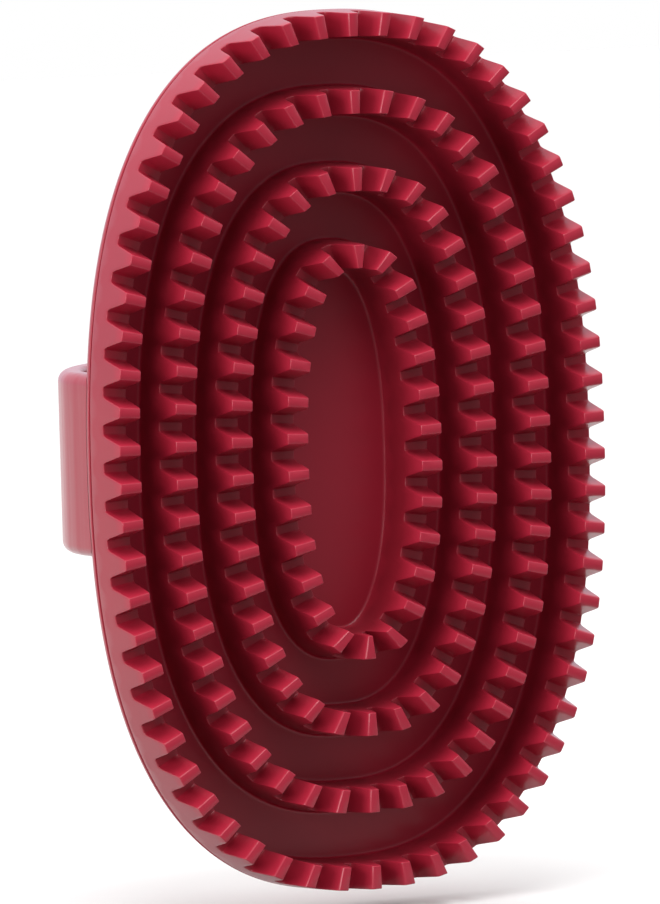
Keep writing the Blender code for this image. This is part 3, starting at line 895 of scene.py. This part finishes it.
def makeRodSteel():
    # drawn wire: fine lines along its length
    material, shader, start, place = newMaterial("rodSteel")
    lines = noise(start, place, rodFinish["lineScale"], *rodFinish["lineDetail"], rodFinish["lineStretch"])
    colour = mixColours(start, lines, rodFinish["darker"], rodFinish["lighter"])
    plain, lined = rodFinish["roughness"]
    height = lines * rodFinish["lineBump"]
    finishWith(shader, start, colour, plain + lines * lined, height, rodFinish["bumpStrength"])
    shader.inputs["Metallic"].default_value = 1.0
    return material


view = {
    "imageHeight": 904,
    "yaw": 29.945,             # degrees that the brush is turned from facing the camera
    "pitch": 4.582,
    "roll": 1.603,
    "originX": 35.824,         # pixels from the image's middle to the middle of the tooth plane
    "originY": -0.365,
    "pixelsPerMetre": 5362.5,  # at the middle of the tooth plane
    "distance": 2.1019,
    "sensor": 36.0,
    "clip": (0.05, 20.0),
}


def toFrame(vector):
    # (right, up, towards the viewer) as the frame has them
    return Vector((vector.x, -vector.z, vector.y))


def makeCamera():
    # the brush is turned by the yaw, then the pitch, then the roll, so the camera takes the opposite turns
    yaw, pitch, roll = (math.radians(view[key]) for key in ("yaw", "pitch", "roll"))
    turned = Matrix.Rotation(roll, 3, "Z") @ Matrix.Rotation(pitch, 3, "X") @ Matrix.Rotation(yaw, 3, "Y")
    back = turned.transposed()
    scale = view["pixelsPerMetre"]
    eye = back @ Vector((-view["originX"] / scale, -view["originY"] / scale, view["distance"]))
    axes = Matrix([toFrame(back @ Vector(axis)) for axis in ((1, 0, 0), (0, 1, 0), (0, 0, 1))])
    data = bpy.data.cameras.new("photoCamera")
    data.sensor_fit = "VERTICAL"
    data.sensor_height = data.sensor_width = view["sensor"]
    data.lens = scale * view["distance"] / view["imageHeight"] * view["sensor"]
    data.clip_start, data.clip_end = view["clip"]
    camera = bpy.data.objects.new("photoCamera", data)
    bpy.context.scene.collection.objects.link(camera)
    place = toFrame(eye) + Vector((0, tipY, 0))
    camera.matrix_world = Matrix.Translation(place) @ axes.transposed().to_4x4()
    bpy.context.scene.camera = camera


light = {
    # strength of the white tent round the brush, on the low and the high side of each axis
    "x": (0.10, 1.45),
    "y": (0.00, 0.90),      # its open side, where the camera stands, is the dark one
    "z": (0.60, 1.85),
    "opening": 0.18,        # how much of the white the tent's open side mirrors
    "openingStart": 0.38,   # cosine of the angle from the front at which the opening begins to darken
    "openingEnd": 0.80,     # and at which it is fully dark
    "mirrorTint": (0.94, 0.98, 1.10),   # colour of the white where it is mirrored
    "lamps": {              # soft boxes, all aimed at the brush
        "overhead": {"place": (-0.42, -0.70, 1.46), "size": 0.8, "power": 9.0},
        "leftSide": {"place": (-1.58, -0.51, 0.34), "size": 0.8, "power": 12.5},
    },
}


def makeLights():
    for name, box in light["lamps"].items():
        data = bpy.data.lights.new(name, "AREA")
        data.shape = "SQUARE"
        data.size = box["size"]
        data.energy = box["power"]
        lamp = bpy.data.objects.new(name, data)
        bpy.context.scene.collection.objects.link(lamp)
        aim = (-Vector(box["place"])).to_track_quat("-Z", "Y")
        lamp.matrix_world = Matrix.Translation(box["place"]) @ aim.to_matrix().to_4x4()


def partOf(start, vector, number):
    return start.node("ShaderNodeSeparateXYZ", None, {0: vector}, number)


def softRange(start, value, low, high, first, last):
    # the shader's own soft step from first to last as the value goes from low to high
    return start.node("ShaderNodeMapRange", {"interpolation_type": "SMOOTHSTEP"},
                      {0: value, 1: low, 2: high, 3: first, 4: last})


def rayKinds(start):
    # 1 for a ray straight from the camera, for a mirrored one and for one through glass, else 0
    return [start.node("ShaderNodeLightPath", output=f"Is {kind} Ray")
            for kind in ("Camera", "Glossy", "Transmission")]


def makeWorld():
    # a white light tent, open and darker towards the camera; the picture's background is plain white
    world = bpy.data.worlds.new("lightTent")
    bpy.context.scene.world = world
    world.use_nodes = True
    tree = world.node_tree
    start = Sum(tree, None)
    direction = start.node("ShaderNodeTexCoord", output="Generated")
    sides = []
    for number, axis in enumerate("xyz"):
        # the square of each part of the direction, times the strength of the side it points to
        low, high = light[axis]
        along = partOf(start, direction, number)
        sides.append(along * along * (low + (high - low) * along.maths("GREATER_THAN", along, 0.0)))
    tent = sum(sides)
    towardsFront = -1 * partOf(start, direction, 1)
    opening = softRange(start, towardsFront, light["openingStart"], light["openingEnd"], 0.0, 1.0)
    reflected = 1 - opening * (1 - light["opening"])
    cameraRay, glossyRay, clearRay = rayKinds(start)
    mirrored = start.maths("MAXIMUM", glossyRay, clearRay)
    strength = tent + (reflected - tent) * mirrored
    strength = strength + (1 - strength) * cameraRay
    tint = mixColours(start, mirrored, (1, 1, 1, 1), (*light["mirrorTint"], 1))
    background = tree.nodes["Background"]
    tree.links.new(tint.socket, background.inputs["Color"])
    tree.links.new(strength.socket, background.inputs["Strength"])


floorSheet = {
    "white": 0.82,        # as the camera and clear things see it
    "bounce": 0.26,       # as it throws light back onto the brush
    "dark": 0.08,         # as it is mirrored towards the tent's open side
    "frontStart": 0.00,   # metres before the brush at which it begins to darken so
    "frontEnd": 0.20,     # and at which it is darkest
    "roughness": 0.6,
    "reach": 3.0,
    "drop": 0.004,        # below the brush
}


def makeFloor():
    # a broad pale floor just under the brush; to mirrors it turns dark towards the tent's open side
    material, shader, start, place = newMaterial("paleFloor")
    white, bounce = floorSheet["white"], floorSheet["bounce"]
    ahead = softRange(start, -1 * partOf(start, place, 1), floorSheet["frontStart"], floorSheet["frontEnd"],
                      white, floorSheet["dark"])
    cameraRay, glossyRay, clearRay = rayKinds(start)
    tone = bounce + (ahead - bounce) * glossyRay
    tone = tone + (white - tone) * start.maths("MAXIMUM", cameraRay, clearRay)
    grey = start.node("ShaderNodeCombineColor", None, {0: tone, 1: tone, 2: tone})
    material.node_tree.links.new(grey.socket, shader.inputs["Base Color"])
    shader.inputs["Roughness"].default_value = floorSheet["roughness"]
    shader.inputs["Specular IOR Level"].default_value = 0.0
    reach, floorZ = floorSheet["reach"], cadLow.z - floorSheet["drop"]
    points = [(x * reach, y * reach, floorZ) for x, y in ((-1, -1), (1, -1), (1, 1), (-1, 1))]
    floor = arrayObject("floor", points, [[0, 1, 2, 3]], material=material)


bpy.context.scene.view_settings.view_transform = "Standard"
makeCamera()
makeLights()
makeWorld()
makeFloor()
print("camera, lights and floor are set")

padRubber = makeRubber("padRubber")
plateRubber = makeRubber("plateRubber")
strapRubber = makeRubber("strapRubber")
studPlastic = makeStudPlastic()
rodSteel = makeRodSteel()
print("materials are made")

toothedPad = makePad(padRubber)
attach(toothedPad, "brush")
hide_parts("toothed_pad")
print("toothed pad is made")

backPlate = makePlate(plateRubber)
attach(backPlate, "brush")
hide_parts("back_plate")
for lugName, lugSide in (("hingeLugUpper", 1), ("hingeLugLower", -1)):
    hingeLug = makeLug(lugName, lugSide, plateRubber)
    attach(hingeLug, "brush")
    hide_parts("back_plate")
print("back plate and lugs are made")

handStrap = makeStrap(strapRubber)
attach(handStrap, "strap")
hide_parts("hand_strap")
print("hand strap is made")

for studName, studNode, studSide in (("strapStudUpper", "strap_stud_upper", 1),
                                     ("strapStudLower", "strap_stud_lower", -1)):
    studPiece = makeStud(studName, studSide, studPlastic)
    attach(studPiece, "brush")
    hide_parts(studNode)
strapRod = makeRod(rodSteel)
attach(strapRod, "brush")
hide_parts("strap_rod")
print("studs and rod are made")
